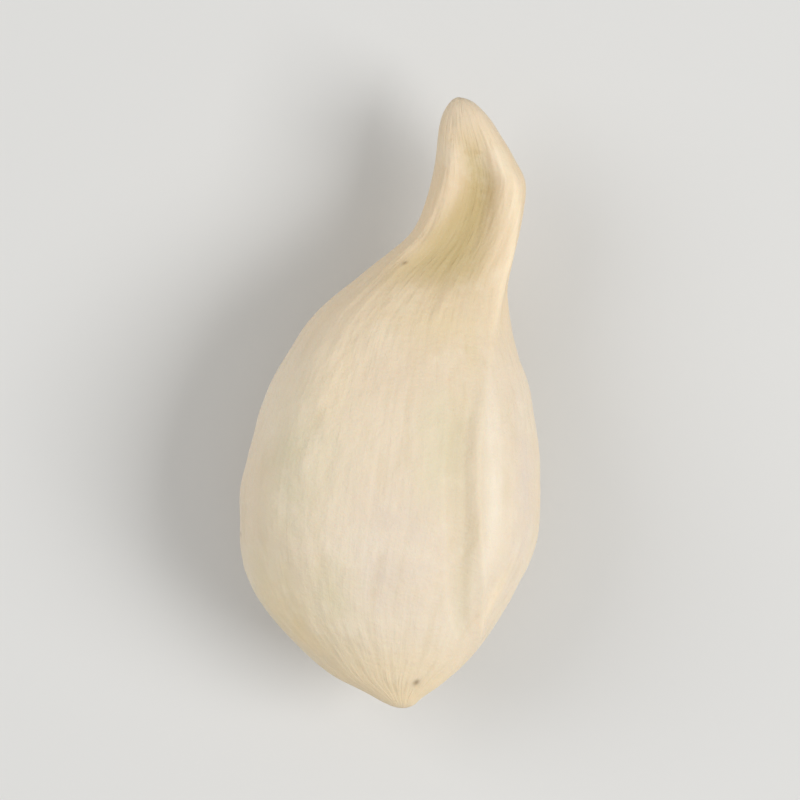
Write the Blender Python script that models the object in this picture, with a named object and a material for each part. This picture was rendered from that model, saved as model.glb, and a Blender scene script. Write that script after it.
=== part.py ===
"""Tangerine seed: one dried seed, a plump teardrop body with a ridge along one side, drawn out
into a hollow beak. It lies on a small flat spot of its belly.

The seed is a sphere with its poles at the two ends. Each point of it is moved to the seed's own
surface: along the seed by its distance from the blunt end, and round it by its angle, which is 0
at the right, 90 degrees on top and 180 degrees at the left.
"""

import math

import bmesh
import bpy
import numpy as np
from mathutils import Matrix, Vector

MM = 0.001

# The long way from the nub at the blunt end to the tip of the beak.
LENGTH = 12.0
# How much of the belly is taken off where the seed lies.
FLAT_SPOT_CUT = 0.12

# Points round the seed and along it.
POINTS_ROUND = 64
POINTS_ALONG = 48
# The line of points that runs along the ridge, and how much closer the others stand to it.
RIDGE_LINE = 9
CROWDING = 0.45

# Seen from above: distance from the blunt end, left edge, right edge.
OUTLINE = (
    (0.00, 0.00, 0.00),
    (0.05, -0.27, 0.20),
    (0.25, -0.74, 0.40),
    (0.55, -1.46, 0.76),
    (0.95, -2.03, 1.16),
    (2.00, -3.07, 1.80),
    (3.50, -3.52, 2.37),
    (5.00, -3.42, 2.28),
    (6.50, -2.98, 1.92),
    (7.50, -2.43, 1.49),
    (8.40, -1.56, 1.31),
    (9.20, -0.74, 1.38),
    (10.00, -0.43, 1.46),
    (10.50, -0.37, 1.44),
    (10.85, -0.36, 1.24),
    (11.40, -0.34, 0.84),
    (12.00, 0.00, 0.00),
)

# Seen from the side: distance from the blunt end, top edge, bottom edge.
PROFILE = (
    (0.00, 0.00, 0.00),
    (0.25, 0.48, -0.48),
    (1.00, 1.36, -1.38),
    (2.20, 2.03, -2.08),
    (4.10, 2.34, -2.42),
    (6.00, 2.02, -2.14),
    (7.50, 1.32, -1.46),
    (8.50, 0.80, -1.02),
    (9.50, 0.55, -0.80),
    (10.60, 0.52, -0.62),
    (11.40, 0.48, -0.26),
    (12.00, 0.22, 0.22),
)

# The ridge: distance from the blunt end, angle in degrees, height, half width.
RIDGE = (
    (0.00, 10.0, 0.00, 0.12),
    (1.00, 14.0, 0.02, 0.14),
    (2.00, 36.0, 0.10, 0.14),
    (3.30, 53.0, 0.10, 0.12),
    (4.70, 57.0, 0.10, 0.12),
    (6.00, 54.0, 0.09, 0.12),
    (7.40, 42.0, 0.07, 0.14),
    (8.40, 32.0, 0.11, 0.16),
    (9.20, 35.0, 0.13, 0.16),
    (10.00, 46.0, 0.12, 0.16),
    (10.60, 55.0, 0.10, 0.16),
    (11.20, 60.0, 0.06, 0.16),
    (12.00, 60.0, 0.00, 0.16),
)

# The hollow of the beak, which runs on down the body as a shallow groove beside the ridge:
# distance from the blunt end, angle in degrees, depth, half width.
HOLLOW = (
    (0.00, 28.0, 0.00, 0.20),
    (1.30, 34.0, 0.01, 0.20),
    (2.00, 50.0, 0.07, 0.20),
    (3.30, 61.5, 0.09, 0.20),
    (4.70, 65.0, 0.10, 0.20),
    (5.60, 64.0, 0.10, 0.20),
    (6.60, 62.0, 0.03, 0.24),
    (7.40, 64.0, 0.01, 0.36),
    (8.10, 79.0, 0.06, 0.60),
    (8.70, 90.0, 0.15, 0.62),
    (9.20, 89.0, 0.22, 0.45),
    (9.70, 88.0, 0.27, 0.33),
    (10.20, 90.0, 0.28, 0.29),
    (10.70, 93.0, 0.20, 0.26),
    (11.10, 92.0, 0.06, 0.24),
    (12.00, 84.0, 0.00, 0.24),
)

# The beak's left rim: distance from the blunt end, angle in degrees, height.
LEFT_RIM = (
    (0.00, 130.0, 0.00),
    (7.40, 130.0, 0.00),
    (8.00, 130.0, 0.00),
    (8.60, 131.0, 0.02),
    (9.20, 138.0, 0.02),
    (9.80, 131.0, 0.04),
    (10.40, 121.0, 0.07),
    (11.00, 109.0, 0.05),
    (11.50, 98.0, 0.02),
    (12.00, 90.0, 0.00),
)
LEFT_RIM_HALF_WIDTH = 0.24

# Flats pressed into the body as it grew: angle, distance of the middle from the blunt end, half
# width in degrees, half length, depth.
FLATS = (
    (22.0, 4.2, 16.0, 2.4, 0.05),
    (98.0, 4.2, 22.0, 2.4, 0.04),
    (140.0, 2.0, 20.0, 1.2, 0.10),
    (160.0, 5.2, 20.0, 1.8, 0.04),
    (222.0, 4.2, 24.0, 2.6, 0.10),
    (318.0, 4.2, 22.0, 2.6, 0.11),
)
# How much fuller than an ellipse the section is: distance from the blunt end, share.
FULLNESS = (
    (0.00, 0.000),
    (4.00, 0.035),
    (8.00, 0.040),
    (9.40, 0.110),
    (10.60, 0.120),
    (11.40, 0.080),
    (12.00, 0.000),
)

SEED_COLOUR = (0.80, 0.69, 0.52, 1.0)
SEED_ROUGHNESS = 0.62
# Edges sharper than this many degrees are drawn sharp.
SHARP_ANGLE = 40


def turn_along(distance):
    """The angle from the blunt pole of the sphere that lands at this distance along the seed."""
    return np.arccos(1 - 2 * np.asarray(distance) / LENGTH)


def curves(stations):
    """One smooth curve through each column of the stations, to be read at a turn from the pole."""
    places = turn_along([row[0] for row in stations])
    columns = np.array([row[1:] for row in stations])
    slopes = np.gradient(columns, places, axis=0)

    def read(turn):
        after = int(np.clip(np.searchsorted(places, turn), 1, len(places) - 1))
        span = places[after] - places[after - 1]
        part = (turn - places[after - 1]) / span
        rise = columns[after] - columns[after - 1]
        bend_in = slopes[after - 1] * span - rise
        bend_out = rise - slopes[after] * span
        bend = (1 - part) * bend_in + part * bend_out
        return (columns[after - 1] + part * rise + part * (1 - part) * bend).tolist()

    return read


outline = curves(OUTLINE)
profile = curves(PROFILE)
ridge = curves(RIDGE)
hollow = curves(HOLLOW)
left_rim = curves(LEFT_RIM)
fullness = curves(FULLNESS)


def bump(distance, half_width):
    """A smooth hump, 1 high in the middle."""
    return math.exp(-((distance / half_width) ** 2))


def trough(distance, half_width):
    """A smooth dip with a flat bottom, 1 deep in the middle."""
    return math.exp(-((distance / half_width) ** 4))


def angle_between(angle, other):
    return (angle - other + math.pi) % (2 * math.pi) - math.pi


def angle_round(line, ridge_angle):
    """The angle of a line of points: the ridge's own line follows it, with the others closer by."""
    home = RIDGE_LINE * 2 * math.pi / POINTS_ROUND
    away = angle_between(line, home)
    return line + (ridge_angle - home) * (1 + math.cos(away)) / 2 - CROWDING * math.sin(away)


def relief(distance, turn, angle, reach):
    """How far the surface stands out from its plain section: ridge, hollow, rim and flats."""
    ridge_angle, ridge_height, ridge_half_width = ridge(turn)
    hollow_angle, hollow_depth, hollow_half_width = hollow(turn)
    rim_angle, rim_height = left_rim(turn)
    from_ridge = angle_between(angle, math.radians(ridge_angle)) * reach
    from_hollow = angle_between(angle, math.radians(hollow_angle)) * reach
    from_rim = angle_between(angle, math.radians(rim_angle)) * reach
    out = ridge_height * bump(from_ridge, ridge_half_width)
    out -= hollow_depth * trough(from_hollow, hollow_half_width)
    out += rim_height * bump(from_rim, LEFT_RIM_HALF_WIDTH)
    for flat_angle, middle, half_width, half_length, depth in FLATS:
        away = math.degrees(angle_between(angle, math.radians(flat_angle)))
        along = bump(distance - middle, half_length) * math.sin(turn)
        out -= depth * along * bump(away, half_width)
    return out


def seed_point(direction):
    """The point of the seed's surface, in millimetres, for a direction of the unit sphere."""
    turn = math.acos(max(-1.0, min(1.0, -direction.y)))
    distance = LENGTH * (1 - math.cos(turn)) / 2
    left, right = outline(turn)
    top, bottom = profile(turn)
    half_width = (right - left) / 2
    half_height = (top - bottom) / 2
    ridge_angle = math.radians(ridge(turn)[0])
    angle = angle_round(math.atan2(direction.z, direction.x), ridge_angle)
    across, up = math.cos(angle), math.sin(angle)
    fuller = 1 + fullness(turn)[0] * math.sin(2 * angle) ** 2
    point = Vector(((left + right) / 2, distance, (top + bottom) / 2))
    point += Vector((half_width * across, 0, half_height * up)) * fuller
    reach = math.sqrt(half_width * half_height)
    if reach > 0:
        outward = Vector((half_height * across, 0, half_width * up)).normalized()
        point += outward * relief(distance, turn, angle, reach)
    return point


def seed_shape():
    """The seed's closed surface in metres, cut flat where it lies and centred over that plane."""
    shape = bmesh.new()
    poles_along = Matrix.Rotation(math.radians(90), 4, "X")
    bmesh.ops.create_uvsphere(
        shape, u_segments=POINTS_ROUND, v_segments=POINTS_ALONG, radius=1.0, matrix=poles_along
    )
    for vertex in shape.verts:
        vertex.co = seed_point(vertex.co) * MM
    lowest = min(vertex.co.z for vertex in shape.verts)
    floor = Vector((0, 0, lowest + FLAT_SPOT_CUT * MM))
    everything = shape.verts[:] + shape.edges[:] + shape.faces[:]
    cut = bmesh.ops.bisect_plane(
        shape, geom=everything, plane_co=floor, plane_no=(0, 0, -1), clear_outer=True
    )
    edge = [item for item in cut["geom_cut"] if isinstance(item, bmesh.types.BMEdge)]
    bmesh.ops.edgeloop_fill(shape, edges=edge)
    corners = np.array([vertex.co for vertex in shape.verts])
    middle = (corners.min(axis=0) + corners.max(axis=0)) / 2
    shift = Vector((-middle[0], -middle[1], -floor.z))
    bmesh.ops.translate(shape, vec=shift, verts=shape.verts)
    bmesh.ops.recalc_face_normals(shape, faces=shape.faces)
    return shape


def seed_coat():
    """Dry, matt, cream-coloured skin."""
    material = bpy.data.materials.new("Seed coat")
    material.use_nodes = True
    skin = material.node_tree.nodes["Principled BSDF"]
    skin.inputs["Base Color"].default_value = SEED_COLOUR
    skin.inputs["Roughness"].default_value = SEED_ROUGHNESS
    skin.inputs["Metallic"].default_value = 0.0
    material.diffuse_color = SEED_COLOUR
    return material


def build_seed(collection):
    mesh = bpy.data.meshes.new("tangerine_seed")
    shape = seed_shape()
    shape.to_mesh(mesh)
    shape.free()
    mesh.materials.append(seed_coat())
    mesh.shade_smooth()
    mesh.set_sharp_from_angle(angle=math.radians(SHARP_ANGLE))
    seed = bpy.data.objects.new("tangerine_seed", mesh)
    collection.objects.link(seed)
    return seed


def main():
    for leftover in list(bpy.data.objects):
        bpy.data.objects.remove(leftover)
    collection = bpy.data.collections.new("Tangerine seed")
    bpy.context.scene.collection.children.link(collection)
    build_seed(collection)


if __name__ == "__main__":
    main()
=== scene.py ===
"""Dried tangerine seed on a pale floor, seen from above.

The seed is a fine sphere with its poles at the two ends. Each point of it is moved to the seed's
own surface: along the seed by its distance from the blunt end, and round it by its angle, which is
0 at the right, 90 degrees on top and 180 degrees at the left. Shape sizes below are millimetres.
"""

import math

import bmesh
import bpy
import numpy as np
from bpy.props import FloatProperty, FloatVectorProperty, IntProperty, PointerProperty
from bpy.types import Operator, Panel, PropertyGroup
from mathutils import Matrix, Vector, noise


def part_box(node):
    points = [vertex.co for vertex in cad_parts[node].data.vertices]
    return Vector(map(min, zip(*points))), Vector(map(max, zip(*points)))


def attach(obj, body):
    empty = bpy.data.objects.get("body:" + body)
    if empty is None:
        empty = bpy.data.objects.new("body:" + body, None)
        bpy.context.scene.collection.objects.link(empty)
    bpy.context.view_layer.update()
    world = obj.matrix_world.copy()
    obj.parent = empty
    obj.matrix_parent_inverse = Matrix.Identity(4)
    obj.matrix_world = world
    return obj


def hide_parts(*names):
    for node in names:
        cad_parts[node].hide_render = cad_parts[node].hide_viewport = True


bl_info = {
    "name": "Dried Tangerine Seed",
    "version": (1, 0, 0),
    "blender": (4, 5, 0),
    "location": "3D View > Sidebar > Seed",
    "description": "Builds a dried tangerine seed with its ridge, its hollow beak and its matt skin",
    "category": "Add Mesh",
}

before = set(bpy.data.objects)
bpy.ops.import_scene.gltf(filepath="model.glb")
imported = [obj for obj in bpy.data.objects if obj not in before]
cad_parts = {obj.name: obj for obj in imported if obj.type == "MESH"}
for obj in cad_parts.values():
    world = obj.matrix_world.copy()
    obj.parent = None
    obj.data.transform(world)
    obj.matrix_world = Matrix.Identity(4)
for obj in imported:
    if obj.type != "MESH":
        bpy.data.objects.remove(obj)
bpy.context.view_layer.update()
SEED_NODE = "tangerine_seed"
SEED_LOW, SEED_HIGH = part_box(SEED_NODE)

MM = 0.001
LENGTH = (SEED_HIGH.y - SEED_LOW.y) / MM

# Seen from above: distance from the blunt end, left edge, right edge.
OUTLINE = (
    (0.00, 0.00, 0.00),
    (0.05, -0.27, 0.20),
    (0.25, -0.74, 0.40),
    (0.55, -1.46, 0.76),
    (0.95, -2.03, 1.16),
    (2.00, -3.07, 1.80),
    (3.50, -3.52, 2.37),
    (5.00, -3.42, 2.28),
    (6.50, -2.98, 1.92),
    (7.50, -2.43, 1.49),
    (8.40, -1.56, 1.31),
    (9.20, -0.74, 1.38),
    (10.00, -0.43, 1.46),
    (10.50, -0.37, 1.44),
    (10.85, -0.36, 1.24),
    (11.40, -0.34, 0.84),
    (12.00, 0.00, 0.00),
)

# Seen from the side: distance from the blunt end, top edge, bottom edge.
PROFILE = (
    (0.00, 0.00, 0.00),
    (0.25, 0.48, -0.48),
    (1.00, 1.36, -1.38),
    (2.20, 2.03, -2.08),
    (4.10, 2.34, -2.42),
    (6.00, 2.02, -2.14),
    (7.50, 1.32, -1.46),
    (8.50, 0.80, -1.02),
    (9.50, 0.55, -0.80),
    (10.60, 0.52, -0.62),
    (11.40, 0.48, -0.26),
    (12.00, 0.22, 0.22),
)

# The ridge: distance from the blunt end, angle in degrees, height, half width.
RIDGE = (
    (0.00, 10.0, 0.00, 0.12),
    (1.00, 14.0, 0.02, 0.14),
    (2.00, 36.0, 0.10, 0.14),
    (3.30, 53.0, 0.10, 0.12),
    (4.70, 57.0, 0.10, 0.12),
    (6.00, 54.0, 0.09, 0.12),
    (7.40, 42.0, 0.07, 0.14),
    (8.40, 32.0, 0.11, 0.16),
    (9.20, 35.0, 0.13, 0.16),
    (10.00, 46.0, 0.12, 0.16),
    (10.60, 55.0, 0.10, 0.16),
    (11.20, 60.0, 0.06, 0.16),
    (12.00, 60.0, 0.00, 0.16),
)

# The hollow of the beak, which runs on down the body as a shallow groove beside the ridge:
# distance from the blunt end, angle in degrees, depth, half width.
HOLLOW = (
    (0.00, 28.0, 0.00, 0.20),
    (1.30, 34.0, 0.01, 0.20),
    (2.00, 50.0, 0.07, 0.20),
    (3.30, 61.5, 0.09, 0.20),
    (4.70, 65.0, 0.10, 0.20),
    (5.60, 64.0, 0.10, 0.20),
    (6.60, 62.0, 0.03, 0.24),
    (7.40, 64.0, 0.01, 0.36),
    (8.10, 79.0, 0.06, 0.60),
    (8.70, 90.0, 0.15, 0.62),
    (9.20, 89.0, 0.22, 0.45),
    (9.70, 88.0, 0.27, 0.33),
    (10.20, 90.0, 0.28, 0.29),
    (10.70, 93.0, 0.20, 0.26),
    (11.10, 92.0, 0.06, 0.24),
    (12.00, 84.0, 0.00, 0.24),
)

# The beak's left rim: distance from the blunt end, angle in degrees, height.
LEFT_RIM = (
    (0.00, 130.0, 0.00),
    (7.40, 130.0, 0.00),
    (8.00, 130.0, 0.00),
    (8.60, 131.0, 0.02),
    (9.20, 138.0, 0.02),
    (9.80, 131.0, 0.04),
    (10.40, 121.0, 0.07),
    (11.00, 109.0, 0.05),
    (11.50, 98.0, 0.02),
    (12.00, 90.0, 0.00),
)
LEFT_RIM_HALF_WIDTH = 0.24

# Flats pressed into the body as it grew: angle, distance of the middle from the blunt end, half
# width in degrees, half length, depth.
FLATS = (
    (22.0, 4.2, 16.0, 2.4, 0.05),
    (98.0, 4.2, 22.0, 2.4, 0.04),
    (140.0, 2.0, 20.0, 1.2, 0.10),
    (160.0, 5.2, 20.0, 1.8, 0.04),
    (222.0, 4.2, 24.0, 2.6, 0.10),
    (318.0, 4.2, 22.0, 2.6, 0.11),
)
# How much fuller than an ellipse the section is: distance from the blunt end, share.
FULLNESS = (
    (0.00, 0.000),
    (4.00, 0.035),
    (8.00, 0.040),
    (9.40, 0.110),
    (10.60, 0.120),
    (11.40, 0.080),
    (12.00, 0.000),
)

# The line of points that runs along the ridge, as a share of the way round, and how much closer
# the others stand to it.
RIDGE_LINE = 9 / 64
CROWDING = 0.45
# The least half width of a section, so that the two ends can be divided by it.
LEAST_HALF_WIDTH = 1e-6

# How uneven the crests of the ridge and of the left rim are, as a share of their height.
CREST_UNEVENNESS = 0.35
# The dents of the dried skin: the size of the small ones and of the broad ones, where the broad
# pattern starts, and its share.
DENT_SIZE = 0.9
BROAD_DENT_SIZE = 2.2
BROAD_DENT_START = 40.0
BROAD_DENT_SHARE = 0.6
# The fine forms fade out where a section's half width is less than this, at the two ends, where
# all lines meet.
BARE_REACH = 0.35
# Fibres that run lengthwise and meet at both ends: lines round the seed, share of the height.
FIBRES = ((19, 0.7), (29, 0.9), (43, 0.8), (61, 0.3))
# How far a set of fibres sways, in radians, and its pace along the seed: the least, and how much
# faster for each radian drawn.
FIBRE_SWAY = 0.9
FIBRE_PACE = (0.35, 0.05)
# The fibres' mean strength, how much it swells and ebbs, and its pace along the seed and round it.
FIBRE_STRENGTH = (0.6, 0.4)
FIBRE_SWELL = (0.9, 3)
FIBRE_SEED = 11
# Fine wrinkles, longer than they are wide: lumps round the seed, lumps in a millimetre along, and
# where their pattern starts.
WRINKLES_ROUND = 8.0
WRINKLES_ALONG = 0.95
WRINKLE_START = 31.0
# Short folds of the dry skin that gather at the neck and round the nub: how many, where their
# middles lie along the seed, and how long, wide and high they are at most.
NECK_FOLDS = (26, (7.7, 9.4), 1.1, 0.10, 0.030)
NUB_FOLDS = (16, (0.35, 0.90), 0.45, 0.09, 0.018)
# How far a fold leans at most, in radians for each millimetre along, and the least share of its
# full length and width.
FOLD_LEAN = 0.12
FOLD_LEAST_SHARE = 0.5
FOLD_SEED = 5
# The little fold inside the beak, near its tip: start, end, angle, half width, height.
TIP_FOLD = (10.1, 11.3, 110.0, 0.09, 0.035)

# The hollow's own tan, deepened as painted shade of the hollow and spread over the neck as painted
# shade of its saddle: distance from the blunt end, angle in degrees, strength, half width.
TAN_AND_PAINTED_SHADE = (
    (0.00, 88.0, 0.00, 1.00),
    (7.60, 88.0, 0.00, 1.00),
    (8.10, 90.0, 0.20, 1.00),
    (8.50, 91.0, 0.80, 0.78),
    (8.90, 92.0, 1.00, 0.60),
    (9.30, 95.0, 1.00, 0.50),
    (9.70, 92.0, 1.00, 0.38),
    (10.20, 89.0, 1.00, 0.29),
    (10.70, 92.0, 1.00, 0.22),
    (11.10, 92.0, 0.45, 0.20),
    (12.00, 92.0, 0.00, 0.20),
)
# Painted shade along the shallow groove beside the ridge: distance from the blunt end, angle in
# degrees, strength, half width.
GROOVE_PAINTED_SHADE = (
    (0.00, 40.0, 0.00, 0.20),
    (1.20, 42.0, 0.10, 0.20),
    (2.00, 48.0, 0.80, 0.22),
    (2.70, 55.0, 0.90, 0.24),
    (3.40, 60.0, 0.70, 0.26),
    (4.70, 64.0, 1.00, 0.28),
    (5.50, 64.5, 1.00, 0.28),
    (6.20, 60.0, 0.50, 0.26),
    (7.00, 58.0, 0.10, 0.24),
    (12.00, 58.0, 0.00, 0.24),
)
# The warm tint of the beak: where it comes in, where it weakens towards the tip, and the share
# that is left there.
BEAK_COMES_IN = (6.3, 8.8)
BEAK_WEAKENS = (10.9, 11.8)
TIP_SHARE = 0.5
# The nub's tint fades out between these distances from the blunt end.
NUB_FADES = (0.2, 1.7)
# The ridge's pale rim on the beak, partly its own colour and partly a painted highlight on the
# crest, has its full strength where the ridge is this high.
FULL_RIDGE = 0.1
# Small dark specks: angle in degrees, distance, radius.
SPECKS = ((57.0, 0.56, 0.065), (124.0, 8.66, 0.035), (171.0, 3.1, 0.05), (250.0, 6.1, 0.06))
# Soft patches of another tint, and of painted light where said: angle in degrees, distance, half
# width round and half length.
PATCHES = {
    "rosy": (
        (80.0, 6.7, 1.4, 0.9),
        (240.0, 4.0, 1.6, 2.0),
    ),
    "pinkish": (
        (28.0, 4.2, 0.50, 2.0),
        (88.0, 3.0, 1.00, 1.3),
        (190.0, 3.5, 0.90, 1.3),
    ),
    "straw": (
        (78.0, 7.7, 1.1, 0.6),
        (56.0, 7.6, 0.22, 0.9),
    ),
    "greenish": (
        (130.0, 4.6, 0.8, 1.6),
        (142.0, 1.8, 1.2, 1.2),
        (112.0, 2.1, 0.5, 0.7),
        (74.0, 5.2, 0.4, 1.2),
        (300.0, 5.5, 1.0, 1.8),
    ),
    "milky": (
        (49.0, 4.2, 0.26, 2.4),
        (200.0, 6.0, 0.9, 1.2),
        (275.0, 2.5, 1.2, 1.5),
    ),
    # Painted light: light thrown back onto the shaded lower left beside the blunt end.
    "nub": (
        (145.0, 1.4, 0.8, 0.9),
    ),
    # Painted light: lighter where the upper left of the body turns from the light, and a painted
    # highlight on the lit flank of the ridge near the blunt end.
    "pale": (
        (122.0, 6.2, 0.45, 1.0),
        (32.0, 2.3, 0.22, 0.7),
    ),
}

# The skin's even patterns: lumps to the metre, detail, roughness.
EVEN_PATTERNS = {
    "clouds": (420.0, 3.0, 0.5),
    "mottle": (1700.0, 4.0, 0.6),
    "grain": (14000.0, 3.0, 0.6),
    "pits": (5200.0, 4.0, 0.6),
    "bloom": (900.0, 5.0, 0.62),
    "rare": (600.0, 1.0, 0.5),
}
# Its lengthwise patterns: lumps across, across and along the whole seed, detail, roughness.
LONG_PATTERNS = {
    "streaks": ((9.0, 9.0, 2.2), 4.0, 0.6),
    "fine_streaks": ((30.0, 30.0, 5.0), 3.0, 0.6),
}
# The net of fine cells: cells across, across and along the whole seed, how far the cells are bent,
# and the pattern that bends them, as lumps to the metre and detail.
NET_CELLS = (17.0, 17.0, 30.0)
NET_BEND = 0.025
NET_BENDS = (2200.0, 2.0)

# The tints over the cream, some of them painted light and shade, from the lowest to the topmost:
# mask, colour, the pattern that varies it, where the pattern starts and ends, and the tint's share
# at its start and at its end.
TINTS = (
    ("rosy", "rosy", "mottle", 0.30, 0.65, 0.40, 1.00),
    ("pinkish", "pinkish", "mottle", 0.30, 0.65, 0.50, 1.00),
    ("straw", "straw", "mottle", 0.30, 0.65, 0.50, 0.90),
    ("greenish", "greenish", "mottle", 0.70, 0.35, 0.50, 0.85),
    ("milky", "milky", "clouds", 0.30, 0.60, 0.50, 0.95),
    ("beak", "warm", "clouds", 0.30, 0.70, 0.70, 1.00),
    # The nub's own warm tint, with the patch of painted light beside it.
    ("nub", "nub", "mottle", 0.30, 0.65, 0.60, 0.60),
    # Painted light of the pale patches.
    ("pale", "rim_and_painted_light", "mottle", 0.30, 0.65, 0.60, 0.90),
    # The hollow's tan, partly its own colour and partly painted shade of the hollow and the neck.
    ("tan_and_painted_shade", "tan", "streaks", 0.25, 0.70, 0.80, 1.00),
    # Painted shade along the groove beside the ridge.
    ("groove_painted_shade", "groove_shade", "mottle", 0.30, 0.65, 0.40, 0.40),
    # The beak's rims: their pale colour, and a painted highlight on the ridge's crest.
    ("rims", "rim_and_painted_light", "mottle", 0.30, 0.60, 0.65, 1.00),
)
# The marks all over the seed: pattern, colour, where the pattern starts and ends, and the mark's
# share at its end. The clouds lie under the tints, and the others over them.
CLOUDS = ("clouds", "ivory", 0.35, 0.70, 0.30)
BLOOM = ("bloom", "ivory", 0.52, 0.70, 0.28)
MARKS = (
    # Tan in the wrinkles' valleys, darker the deeper they are: painted shade in the creases.
    ("wrinkles", "tan", -0.10, -0.70, 0.12),
    ("streaks", "tan", 0.50, 0.80, 0.08),
    ("fine_streaks", "tan", 0.55, 0.80, 0.07),
    BLOOM,
)
# Specks all over: cells to the metre with one speck each, the speck's fading edge in cells, where
# the pattern called rare lets a speck show, and how dark every speck is.
SPECK_CELLS = 850.0
SPECK_EDGE = (0.05, 0.025)
SPECK_SHOWS = (0.60, 0.66)
SPECK_DARKNESS = 0.75

# The finish: least and greatest roughness, where the mottle starts and ends to change it, and how
# much smoother the bloom makes it.
ROUGHNESS = (0.58, 0.76)
ROUGHNESS_PATTERN = (0.25, 0.75)
BLOOM_SMOOTHING = 0.3
# The finest relief: pattern and share, with its height in millimetres and its strength.
FINEST_RELIEF = (
    ("grain", 0.5),
    ("pits", 0.9),
    ("fine_streaks", 0.5),
    ("mottle", 0.9),
    ("net", -0.9),
)
FINEST_HEIGHT = 0.026
FINEST_STRENGTH = 0.8
# How much light enters the skin, how deep in millimetres, and how deep each colour gets.
LIGHT_ENTERS = 0.15
LIGHT_DEPTH = 0.25
LIGHT_DEPTH_OF_COLOURS = (1.0, 0.62, 0.36)
SKIN_SHINE = 0.35
SHEEN = 0.08
SHEEN_ROUGHNESS = 0.5

FLOOR_ROUGHNESS = 0.9
FLOOR_SHINE = 0.2
ROOM_COLOUR = (1.0, 0.99, 0.97)
ROOM_STRENGTH = 0.46
# The soft lights: name, place from the seed's middle and width in metres, power in watts.
LIGHTS = (
    ("Key light", (0.15, -0.02, 0.16), 0.12, 0.30),
    ("Fill light", (-0.16, 0.04, 0.15), 0.16, 0.15),
)
# The lens in millimetres, the nearest distance that it shows in metres, and the share of the
# picture that the seed's length takes.
LENS = 300
NEAREST = 0.001
SEED_SHARE = 0.78


class SeedSizes(PropertyGroup):
    points_round: IntProperty(
        name="Points Round",
        description="Points of the skin round the seed",
        default=312,
        min=48,
    )
    points_along: IntProperty(
        name="Points Along",
        description="Points of the skin along the seed",
        default=300,
        min=48,
    )
    fibre_height: FloatProperty(
        name="Fibre Height",
        description="How high the lengthwise fibres stand",
        default=0.0022 * MM,
        unit="LENGTH",
        precision=7,
    )
    wrinkle_height: FloatProperty(
        name="Wrinkle Height",
        description="How high the fine lengthwise wrinkles stand",
        default=0.0075 * MM,
        unit="LENGTH",
        precision=7,
    )
    dent_depth: FloatProperty(
        name="Dent Depth",
        description="Depth of the broad uneven dents of the dried skin",
        default=0.028 * MM,
        unit="LENGTH",
        precision=7,
    )
    floor_width: FloatProperty(
        name="Floor Width",
        description="Width of the pale floor",
        default=3.0,
        unit="LENGTH",
    )
    lean: FloatProperty(
        name="Lean",
        description="How far the seed leans in the picture",
        default=math.radians(5.5),
        subtype="ANGLE",
    )


class SeedColours(PropertyGroup):
    cream: FloatVectorProperty(
        name="Cream",
        description="The skin's main colour",
        default=(0.795, 0.67, 0.505),
        subtype="COLOR",
    )
    ivory: FloatVectorProperty(
        name="Ivory",
        description="The paler clouds",
        default=(0.88, 0.785, 0.62),
        subtype="COLOR",
    )
    milky: FloatVectorProperty(
        name="Milky",
        description="The whitest patches",
        default=(0.89, 0.80, 0.66),
        subtype="COLOR",
    )
    # The beak's pale rims, also used for the painted highlight on the ridge's crest and for the
    # painted light of the pale patches.
    rim_and_painted_light: FloatVectorProperty(
        name="Rim",
        description="The beak's rims and the pale patches",
        default=(0.90, 0.75, 0.54),
        subtype="COLOR",
    )
    # The blunt end's own warm colour, also used for the painted light beside it.
    nub: FloatVectorProperty(
        name="Nub",
        description="The blunt end",
        default=(0.92, 0.72, 0.43),
        subtype="COLOR",
    )
    rosy: FloatVectorProperty(
        name="Rosy",
        description="The faintly peach patches",
        default=(0.81, 0.665, 0.49),
        subtype="COLOR",
    )
    pinkish: FloatVectorProperty(
        name="Pinkish",
        description="The cool, faintly pink patches",
        default=(0.745, 0.64, 0.53),
        subtype="COLOR",
    )
    straw: FloatVectorProperty(
        name="Straw",
        description="The faintly yellow band below the neck",
        default=(0.77, 0.64, 0.40),
        subtype="COLOR",
    )
    greenish: FloatVectorProperty(
        name="Greenish",
        description="The faintly green patches",
        default=(0.725, 0.648, 0.457),
        subtype="COLOR",
    )
    # The hollow's own colour, also laid on as painted shade in the hollow, at the neck and in the
    # wrinkles' valleys.
    tan: FloatVectorProperty(
        name="Tan",
        description="The hollow of the beak",
        default=(0.56, 0.435, 0.215),
        subtype="COLOR",
    )
    # The colour of the painted shade in the groove beside the ridge.
    groove_shade: FloatVectorProperty(
        name="Dusk",
        description="The groove beside the ridge",
        default=(0.60, 0.52, 0.33),
        subtype="COLOR",
    )
    warm: FloatVectorProperty(
        name="Warm",
        description="The neck and the beak",
        default=(0.785, 0.62, 0.415),
        subtype="COLOR",
    )
    speck: FloatVectorProperty(
        name="Speck",
        description="The small dark specks",
        default=(0.24, 0.15, 0.075),
        subtype="COLOR",
    )
    floor: FloatVectorProperty(
        name="Floor",
        description="The pale floor",
        default=(0.70, 0.70, 0.69),
        subtype="COLOR",
    )


def turn_along(distance):
    """The angle from the blunt pole of the sphere that lands at this distance along the seed."""
    return np.arccos(np.clip(1 - 2 * np.asarray(distance) / LENGTH, -1, 1))


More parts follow.
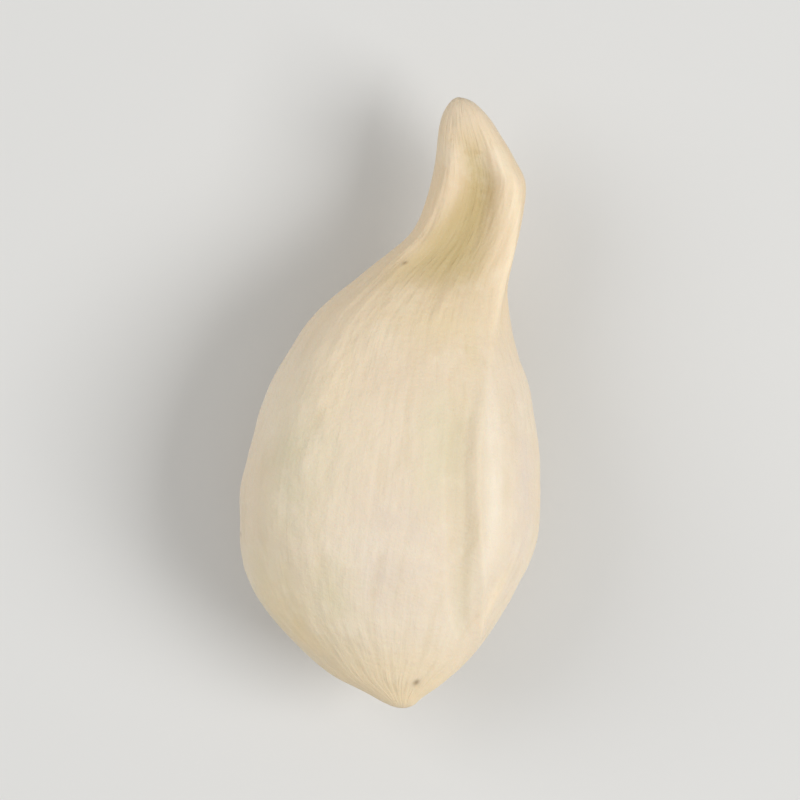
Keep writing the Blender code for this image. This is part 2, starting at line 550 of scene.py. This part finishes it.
def curves(stations):
    """One smooth curve through each column of the stations, to be read at turns from the pole."""
    places = turn_along([row[0] for row in stations])
    columns = np.array([row[1:] for row in stations])
    slopes = np.gradient(columns, places, axis=0)

    def read(turn):
        after = np.clip(np.searchsorted(places, turn), 1, len(places) - 1)
        span = (places[after] - places[after - 1])[:, None]
        part = (turn - places[after - 1])[:, None] / span
        rise = columns[after] - columns[after - 1]
        bend_in = slopes[after - 1] * span - rise
        bend_out = rise - slopes[after] * span
        bend = (1 - part) * bend_in + part * bend_out
        return (columns[after - 1] + part * rise + part * (1 - part) * bend).T

    return read


def bump(distance, half_width):
    """A smooth hump, 1 high in the middle."""
    return np.exp(-((distance / half_width) ** 2))


def trough(distance, half_width):
    """A smooth dip with a flat bottom, 1 deep in the middle."""
    return np.exp(-((distance / half_width) ** 4))


def fade(distance, start, end):
    """1 before the start and 0 after the end, with a smooth way between."""
    part = np.clip((distance - start) / (end - start), 0, 1)
    return 1 - part * part * (3 - 2 * part)


def angle_between(angle, other):
    return (angle - other + math.pi) % (2 * math.pi) - math.pi


def angle_round(line, ridge_angle):
    """The angle of a line of points: the ridge's own line follows it, with the others closer by."""
    home = RIDGE_LINE * 2 * math.pi
    away = angle_between(line, home)
    return line + (ridge_angle - home) * (1 + np.cos(away)) / 2 - CROWDING * np.sin(away)


def noise_at(points, size, depth=1):
    """Soft noise, about -1 to 1, with lumps of the given size in millimetres."""
    return np.array([noise.fractal(Vector(point), 1.0, 2.0, depth) for point in points / size])


class Skin:
    """The points of the skin on the seed's plain sections, for directions of the unit sphere."""

    def __init__(self, directions):
        self.turn = np.arccos(np.clip(-directions[:, 1], -1, 1))
        self.distance = LENGTH * (1 - np.cos(self.turn)) / 2
        left, right = curves(OUTLINE)(self.turn)
        top, bottom = curves(PROFILE)(self.turn)
        half_width = np.maximum((right - left) / 2, LEAST_HALF_WIDTH)
        half_height = np.maximum((top - bottom) / 2, LEAST_HALF_WIDTH)
        self.reach = np.sqrt(half_width * half_height)
        line = np.arctan2(directions[:, 2], directions[:, 0])
        ridge_angle = curves(RIDGE)(self.turn)[0]
        self.angle = angle_round(line, np.radians(ridge_angle))
        self.across, self.up = np.cos(self.angle), np.sin(self.angle)
        fuller = 1 + curves(FULLNESS)(self.turn)[0] * np.sin(2 * self.angle) ** 2
        x = (left + right) / 2 + half_width * self.across * fuller
        z = (top + bottom) / 2 + half_height * self.up * fuller
        self.plain = np.stack((x, self.distance, z), axis=1)
        sideways, upwards = half_height * self.across, half_width * self.up
        outward = np.stack((sideways, np.zeros_like(x), upwards), axis=1)
        self.outward = outward / np.linalg.norm(outward, axis=1)[:, None]

    def from_angle(self, degrees):
        """How far each point is from an angle, in millimetres round the seed."""
        return angle_between(self.angle, np.radians(degrees)) * self.reach

    def patches(self, rows):
        """How much each point lies in one of the soft patches, 0 to 1."""
        out = np.zeros_like(self.angle)
        for degrees, middle, half_width, half_length in rows:
            along = bump(self.distance - middle, half_length)
            out = np.maximum(out, bump(self.from_angle(degrees), half_width) * along)
        return out


def grown_forms(skin, uneven):
    """How far the ridge, the hollow, the left rim and the flats stand out, in millimetres."""
    ridge_angle, ridge_height, ridge_half_width = curves(RIDGE)(skin.turn)
    hollow_angle, hollow_depth, hollow_half_width = curves(HOLLOW)(skin.turn)
    rim_angle, rim_height = curves(LEFT_RIM)(skin.turn)
    crest = 1 + CREST_UNEVENNESS * uneven
    out = ridge_height * bump(skin.from_angle(ridge_angle), ridge_half_width) * crest
    out -= hollow_depth * trough(skin.from_angle(hollow_angle), hollow_half_width)
    out += rim_height * bump(skin.from_angle(rim_angle), LEFT_RIM_HALF_WIDTH) * crest
    for flat_angle, middle, half_width, half_length, depth in FLATS:
        away = np.degrees(angle_between(skin.angle, math.radians(flat_angle)))
        along = bump(skin.distance - middle, half_length) * np.sin(skin.turn)
        out -= depth * along * bump(away, half_width)
    return out


def fibres(skin):
    """Lengthwise fibres, about -1 to 1, that wander a little and meet at both ends."""
    draw = np.random.default_rng(FIBRE_SEED)
    least_pace, more_pace = FIBRE_PACE
    mean, ebb = FIBRE_STRENGTH
    swell_along, swell_round = FIBRE_SWELL
    height = np.zeros_like(skin.angle)
    for lines, share in FIBRES:
        start, wander, pace, swell = draw.uniform(0, 2 * math.pi, 4)
        sway = FIBRE_SWAY * np.sin(skin.distance * (least_pace + more_pace * pace) + wander)
        swelling = skin.distance * swell_along + swell_round * skin.angle + swell
        strength = mean + ebb * np.sin(swelling)
        height += share * strength * np.sin(lines * skin.angle + start + sway)
    return height / sum(share for _, share in FIBRES)


def fine_wrinkles(skin):
    """Fine lengthwise wrinkles, about -1 to 1."""
    across, up = skin.across * WRINKLES_ROUND, skin.up * WRINKLES_ROUND
    around = np.stack((across, up, skin.distance * WRINKLES_ALONG), axis=1)
    return noise_at(around + WRINKLE_START, 1.0, 3)


def folds(skin, settings, draw):
    """Short lengthwise folds at random angles, in millimetres."""
    count, (first, last), length, width, height = settings
    out = np.zeros_like(skin.angle)
    for _ in range(count):
        at_angle = draw.uniform(0, 2 * math.pi)
        middle = draw.uniform(first, last)
        lean = draw.uniform(-FOLD_LEAN, FOLD_LEAN)
        half_length = length * draw.uniform(FOLD_LEAST_SHARE, 1.0)
        half_width = width * draw.uniform(FOLD_LEAST_SHARE, 1.0)
        fold_height = height * draw.uniform(-1.0, 1.0)
        along = skin.distance - middle
        across = angle_between(skin.angle, at_angle + lean * along) * skin.reach
        out += fold_height * bump(across, half_width) * bump(along, half_length)
    return out


def dried_forms(skin, uneven, wrinkles, sizes):
    """How far the dents, fibres, wrinkles and folds stand out, in millimetres."""
    broad = noise_at(skin.plain + BROAD_DENT_START, BROAD_DENT_SIZE)
    draw = np.random.default_rng(FOLD_SEED)
    out = sizes.dent_depth / MM * (uneven - BROAD_DENT_SHARE * broad)
    out += sizes.fibre_height / MM * fibres(skin)
    out += sizes.wrinkle_height / MM * wrinkles
    out += folds(skin, NECK_FOLDS, draw)
    out += folds(skin, NUB_FOLDS, draw)
    return (1 - bump(skin.reach, BARE_REACH)) * out


def tip_fold(skin):
    """How far the little fold inside the beak stands out, in millimetres."""
    first, last, degrees, half_width, height = TIP_FOLD
    along = bump(skin.distance - (first + last) / 2, (last - first) / 2)
    return height * along * bump(skin.from_angle(degrees), half_width)


def tint_masks(skin, wrinkles):
    """How strongly each tint and mark shows at each point."""
    ridge_angle, ridge_height, ridge_half_width = curves(RIDGE)(skin.turn)
    tan_and_shade_angle, tan_and_shade_strength, tan_and_shade_half_width = curves(TAN_AND_PAINTED_SHADE)(skin.turn)
    groove_shade_angle, groove_shade_strength, groove_shade_half_width = curves(GROOVE_PAINTED_SHADE)(skin.turn)
    on_ridge = bump(skin.from_angle(ridge_angle), ridge_half_width)
    tip = TIP_SHARE + (1 - TIP_SHARE) * fade(skin.distance, *BEAK_WEAKENS)
    masks = {name: skin.patches(rows) for name, rows in PATCHES.items()}
    # The nub's own tint at the blunt end, and the patch of painted light on its shaded left.
    masks["nub"] = np.maximum(masks["nub"], fade(skin.distance, *NUB_FADES))
    masks["beak"] = (1 - fade(skin.distance, *BEAK_COMES_IN)) * tip
    # Pale rim along the ridge on the beak, partly its own colour and partly a painted highlight,
    # stronger where the crest stands higher.
    masks["rims"] = on_ridge * np.clip(ridge_height / FULL_RIDGE, 0, 1) * masks["beak"]
    # Partly the hollow's own tan, partly painted shade of the hollow and of the neck's saddle.
    masks["tan_and_painted_shade"] = tan_and_shade_strength * trough(skin.from_angle(tan_and_shade_angle), tan_and_shade_half_width)
    # Painted shade along the groove beside the ridge.
    masks["groove_painted_shade"] = groove_shade_strength * bump(skin.from_angle(groove_shade_angle), groove_shade_half_width)
    # The wrinkles' height, which also sets the painted shade in their valleys.
    masks["wrinkles"] = wrinkles
    masks["specks"] = np.zeros_like(skin.angle)
    for degrees, middle, radius in SPECKS:
        away = np.hypot(skin.from_angle(degrees), skin.distance - middle)
        masks["specks"] = np.maximum(masks["specks"], bump(away, radius))
    return masks


def fitted(points):
    """The points in metres, moved so that the seed fills the frame's own place and lies flat."""
    low, high = points.min(axis=0), points.max(axis=0)
    box_low, box_high = np.array(SEED_LOW), np.array(SEED_HIGH)
    stretch = (box_high - box_low)[:2] / (high - low)[:2]
    placed = points * MM
    placed[:, :2] = box_low[:2] + (points[:, :2] - low[:2]) * stretch
    placed[:, 2] += box_high[2] - high[2] * MM
    placed[:, 2] = np.maximum(placed[:, 2], box_low[2])
    return placed


def seed_mesh(sizes):
    """The seed's skin, with its masks and its lengthwise places kept on the points."""
    sphere = bmesh.new()
    poles_along = Matrix.Rotation(math.radians(90), 4, "X")
    rings = {"u_segments": sizes.points_round, "v_segments": sizes.points_along}
    bmesh.ops.create_uvsphere(sphere, radius=1.0, matrix=poles_along, **rings)
    mesh = bpy.data.meshes.new("dried_seed")
    sphere.to_mesh(mesh)
    sphere.free()
    directions = np.empty(len(mesh.vertices) * 3, np.float32)
    mesh.vertices.foreach_get("co", directions)
    skin = Skin(directions.reshape(-1, 3).astype(float))
    uneven = noise_at(skin.plain, DENT_SIZE, 2)
    wrinkles = fine_wrinkles(skin)
    out = grown_forms(skin, uneven) + dried_forms(skin, uneven, wrinkles, sizes) + tip_fold(skin)
    points = fitted(skin.plain + skin.outward * out[:, None])
    mesh.vertices.foreach_set("co", points.astype(np.float32).ravel())
    for name, values in tint_masks(skin, wrinkles).items():
        layer = mesh.attributes.new(name, "FLOAT", "POINT")
        layer.data.foreach_set("value", values.astype(np.float32))
    lengthwise = np.stack((skin.across, skin.up, skin.distance / LENGTH), axis=1)
    layer = mesh.attributes.new("lengthwise", "FLOAT_VECTOR", "POINT")
    layer.data.foreach_set("vector", lengthwise.astype(np.float32).ravel())
    mesh.shade_smooth()
    mesh.update()
    return mesh


def solid(colour):
    return (*colour, 1.0)


class Nodes:
    """Adds nodes to a material, each fed by numbers or by other nodes' outputs."""

    def __init__(self, tree):
        self.tree = tree

    def add(self, kind, inputs, output=0, **settings):
        made = self.tree.nodes.new(kind)
        for name, value in settings.items():
            setattr(made, name, value)
        for socket, value in inputs.items():
            self.feed(made.inputs[socket], value)
        return made.outputs[output]

    def feed(self, socket, value):
        if isinstance(value, bpy.types.NodeSocket):
            self.tree.links.new(value, socket)
        else:
            socket.default_value = value

    def mask(self, name):
        return self.add("ShaderNodeAttribute", {}, "Fac", attribute_name=name)

    def number(self, operation, first, second):
        return self.add("ShaderNodeMath", {0: first, 1: second}, operation=operation)

    def ramp(self, value, start, end, low=0.0, high=1.0):
        """The value from start to end becomes low to high."""
        inputs = {0: value, 1: start, 2: end, 3: low, 4: high}
        settings = {"clamp": True, "interpolation_type": "SMOOTHSTEP"}
        return self.add("ShaderNodeMapRange", inputs, **settings)

    def blend(self, factor, first, second):
        inputs = {0: factor, 6: first, 7: second}
        return self.add("ShaderNodeMix", inputs, 2, data_type="RGBA")

    def stretched(self, place, scale):
        return self.add("ShaderNodeMapping", {"Vector": place, "Scale": scale})

    def noise(self, place, scale, detail, roughness):
        inputs = {"Vector": place, "Scale": scale, "Detail": detail, "Roughness": roughness}
        return self.add("ShaderNodeTexNoise", inputs)


def fine_net(nodes, place, lengthwise):
    """A net of fine cells, a little bent, drawn out along the seed."""
    scale, detail = NET_BENDS
    bends = {"Vector": place, "Scale": scale, "Detail": detail}
    bent = nodes.add("ShaderNodeTexNoise", bends, "Color")
    mix = {0: NET_BEND, 4: nodes.stretched(lengthwise, NET_CELLS), 5: bent}
    cells = {"Vector": nodes.add("ShaderNodeMix", mix, 1, data_type="VECTOR"), "Scale": 1.0}
    return nodes.add("ShaderNodeTexVoronoi", cells, "Distance", feature="SMOOTH_F1")


def skin_patterns(nodes, place):
    """Every pattern of the skin, by its name."""
    lengthwise = nodes.add("ShaderNodeAttribute", {}, "Vector", attribute_name="lengthwise")
    patterns = {"wrinkles": nodes.mask("wrinkles"), "net": fine_net(nodes, place, lengthwise)}
    for name, (scale, detail, roughness) in EVEN_PATTERNS.items():
        patterns[name] = nodes.noise(place, scale, detail, roughness)
    for name, (stretch, detail, roughness) in LONG_PATTERNS.items():
        long_place = nodes.stretched(lengthwise, stretch)
        patterns[name] = nodes.noise(long_place, 1.0, detail, roughness)
    return patterns


def mark_shows(nodes, patterns, mark):
    """How strongly a mark shows, from its pattern."""
    pattern, _, start, end, share = mark
    return nodes.ramp(patterns[pattern], start, end, 0.0, share)


def marked(nodes, patterns, colours, colour, mark):
    """The colour with a mark laid over it."""
    _, over, *_ = mark
    return nodes.blend(mark_shows(nodes, patterns, mark), colour, solid(getattr(colours, over)))


def skin_colour(nodes, patterns, place, colours):
    """Cream with clouds, tints and marks, painted light and shade among them, and specks over all.
    """
    colour = marked(nodes, patterns, colours, solid(colours.cream), CLOUDS)
    for mask, over, pattern, start, end, low, high in TINTS:
        shows = nodes.ramp(patterns[pattern], start, end, low, high)
        shows = nodes.number("MULTIPLY", nodes.mask(mask), shows)
        colour = nodes.blend(shows, colour, solid(getattr(colours, over)))
    for mark in MARKS:
        colour = marked(nodes, patterns, colours, colour, mark)
    cells = {"Vector": place, "Scale": SPECK_CELLS}
    to_middle = nodes.add("ShaderNodeTexVoronoi", cells, "Distance")
    specks = nodes.ramp(to_middle, *SPECK_EDGE)
    specks = nodes.number("MULTIPLY", specks, nodes.ramp(patterns["rare"], *SPECK_SHOWS))
    specks = nodes.number("MAXIMUM", specks, nodes.mask("specks"))
    specks = nodes.number("MULTIPLY", specks, SPECK_DARKNESS)
    return nodes.blend(specks, colour, solid(colours.speck))


def skin_roughness(nodes, patterns):
    """Matt, varied by the mottle, and a little smoother where the bloom shows."""
    roughness = nodes.ramp(patterns["mottle"], *ROUGHNESS_PATTERN, *ROUGHNESS)
    smoothing = nodes.number("MULTIPLY", mark_shows(nodes, patterns, BLOOM), BLOOM_SMOOTHING)
    return nodes.number("SUBTRACT", roughness, smoothing)


def finest_relief(nodes, patterns):
    """The relief that is too fine for the mesh, as a bent normal."""
    height = 0.0
    for pattern, share in FINEST_RELIEF:
        raised = nodes.number("MULTIPLY", patterns[pattern], share)
        height = nodes.number("ADD", height, raised)
    inputs = {"Strength": FINEST_STRENGTH, "Distance": FINEST_HEIGHT * MM, "Height": height}
    return nodes.add("ShaderNodeBump", inputs)


def seed_coat(colours):
    """The dry skin: cream with faint tints, lengthwise fibres, a tan hollow and pale edges, with
    painted light and shade among the tints.
    """
    material = bpy.data.materials.new("Dry seed coat")
    material.use_nodes = True
    skin = material.node_tree.nodes["Principled BSDF"]
    nodes = Nodes(material.node_tree)
    place = nodes.add("ShaderNodeTexCoord", {}, "Object")
    patterns = skin_patterns(nodes, place)
    nodes.feed(skin.inputs["Base Color"], skin_colour(nodes, patterns, place, colours))
    nodes.feed(skin.inputs["Roughness"], skin_roughness(nodes, patterns))
    nodes.feed(skin.inputs["Normal"], finest_relief(nodes, patterns))
    skin.inputs["Subsurface Weight"].default_value = LIGHT_ENTERS
    skin.inputs["Subsurface Radius"].default_value = LIGHT_DEPTH_OF_COLOURS
    skin.inputs["Subsurface Scale"].default_value = LIGHT_DEPTH * MM
    skin.inputs["Specular IOR Level"].default_value = SKIN_SHINE
    skin.inputs["Sheen Weight"].default_value = SHEEN
    skin.inputs["Sheen Roughness"].default_value = SHEEN_ROUGHNESS
    return material


def in_scene(name, data):
    """A new object of the scene."""
    made = bpy.data.objects.new(name, data)
    bpy.context.scene.collection.objects.link(made)
    return made


def pale_paint(colour):
    """The floor's even, matt paint."""
    material = bpy.data.materials.new("Pale floor")
    material.use_nodes = True
    paint = material.node_tree.nodes["Principled BSDF"]
    paint.inputs["Base Color"].default_value = solid(colour)
    paint.inputs["Roughness"].default_value = FLOOR_ROUGHNESS
    paint.inputs["Specular IOR Level"].default_value = FLOOR_SHINE
    return material


def pale_floor(width, colour):
    """A wide square floor, level with the seed's flat spot."""
    mesh = bpy.data.meshes.new("floor")
    plane = bmesh.new()
    bmesh.ops.create_grid(plane, x_segments=1, y_segments=1, size=width / 2)
    plane.to_mesh(mesh)
    plane.free()
    mesh.materials.append(pale_paint(colour))
    floor = in_scene("floor", mesh)
    floor.location.z = SEED_LOW.z
    return floor


def soft_room():
    """Even light from all round."""
    world = bpy.data.worlds.new("Soft room")
    world.use_nodes = True
    sky = world.node_tree.nodes["Background"]
    sky.inputs["Color"].default_value = solid(ROOM_COLOUR)
    sky.inputs["Strength"].default_value = ROOM_STRENGTH
    return world


def soft_light(name, place, width, power, target):
    """A square soft light, its face turned to the target."""
    lamp = bpy.data.lights.new(name, "AREA")
    lamp.size = width
    lamp.energy = power
    light = in_scene(name, lamp)
    light.location = place
    light.rotation_euler = (target - place).to_track_quat("-Z", "Y").to_euler()
    light.visible_camera = False
    return light


def camera_above(target, lean):
    """A camera that looks straight down, turned so that the seed leans in the picture."""
    camera = in_scene("Camera", bpy.data.cameras.new("Camera"))
    camera.data.lens = LENS
    camera.data.clip_start = NEAREST
    picture_width = LENGTH * MM / SEED_SHARE
    height = picture_width * LENS / camera.data.sensor_width
    camera.location = (target.x, target.y, SEED_HIGH.z + height)
    camera.rotation_euler = (0, 0, lean)
    return camera


class OBJECT_OT_dried_seed(Operator):
    """Builds the seed's skin over its solid"""

    bl_idname = "object.dried_seed"
    bl_label = "Seed"

    def execute(self, context):
        seed = in_scene("dried_seed", seed_mesh(context.scene.seed_sizes))
        seed.data.materials.append(seed_coat(context.scene.seed_colours))
        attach(seed, "root")
        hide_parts(SEED_NODE)
        return {"FINISHED"}


class SCENE_OT_seed_stage(Operator):
    """Builds the pale floor, the soft light and the camera that looks straight down"""

    bl_idname = "scene.seed_stage"
    bl_label = "Stage"

    def execute(self, context):
        scene = context.scene
        pale_floor(scene.seed_sizes.floor_width, scene.seed_colours.floor)
        scene.world = soft_room()
        middle = (SEED_LOW + SEED_HIGH) / 2
        for name, offset, width, power in LIGHTS:
            soft_light(name, middle + Vector(offset), width, power, middle)
        scene.camera = camera_above(middle, scene.seed_sizes.lean)
        scene.view_settings.view_transform = "Standard"
        return {"FINISHED"}


class VIEW3D_PT_dried_seed(Panel):
    """Lists the sizes, the colours and the two operators"""

    bl_label = "Dried Tangerine Seed"
    bl_space_type = "VIEW_3D"
    bl_region_type = "UI"
    bl_category = "Seed"

    def draw(self, context):
        column = self.layout.column()
        for group in (context.scene.seed_sizes, context.scene.seed_colours):
            for name in group.__annotations__:
                column.prop(group, name)
        column.operator("object.dried_seed")
        column.operator("scene.seed_stage")


CLASSES = (SeedSizes, SeedColours, OBJECT_OT_dried_seed, SCENE_OT_seed_stage, VIEW3D_PT_dried_seed)


def register():
    for cls in CLASSES:
        bpy.utils.register_class(cls)
    bpy.types.Scene.seed_sizes = PointerProperty(type=SeedSizes)
    bpy.types.Scene.seed_colours = PointerProperty(type=SeedColours)


def unregister():
    del bpy.types.Scene.seed_sizes
    del bpy.types.Scene.seed_colours
    for cls in reversed(CLASSES):
        bpy.utils.unregister_class(cls)


def main():
    register()
    bpy.ops.object.dried_seed()
    bpy.ops.scene.seed_stage()


if __name__ == "__main__":
    main()
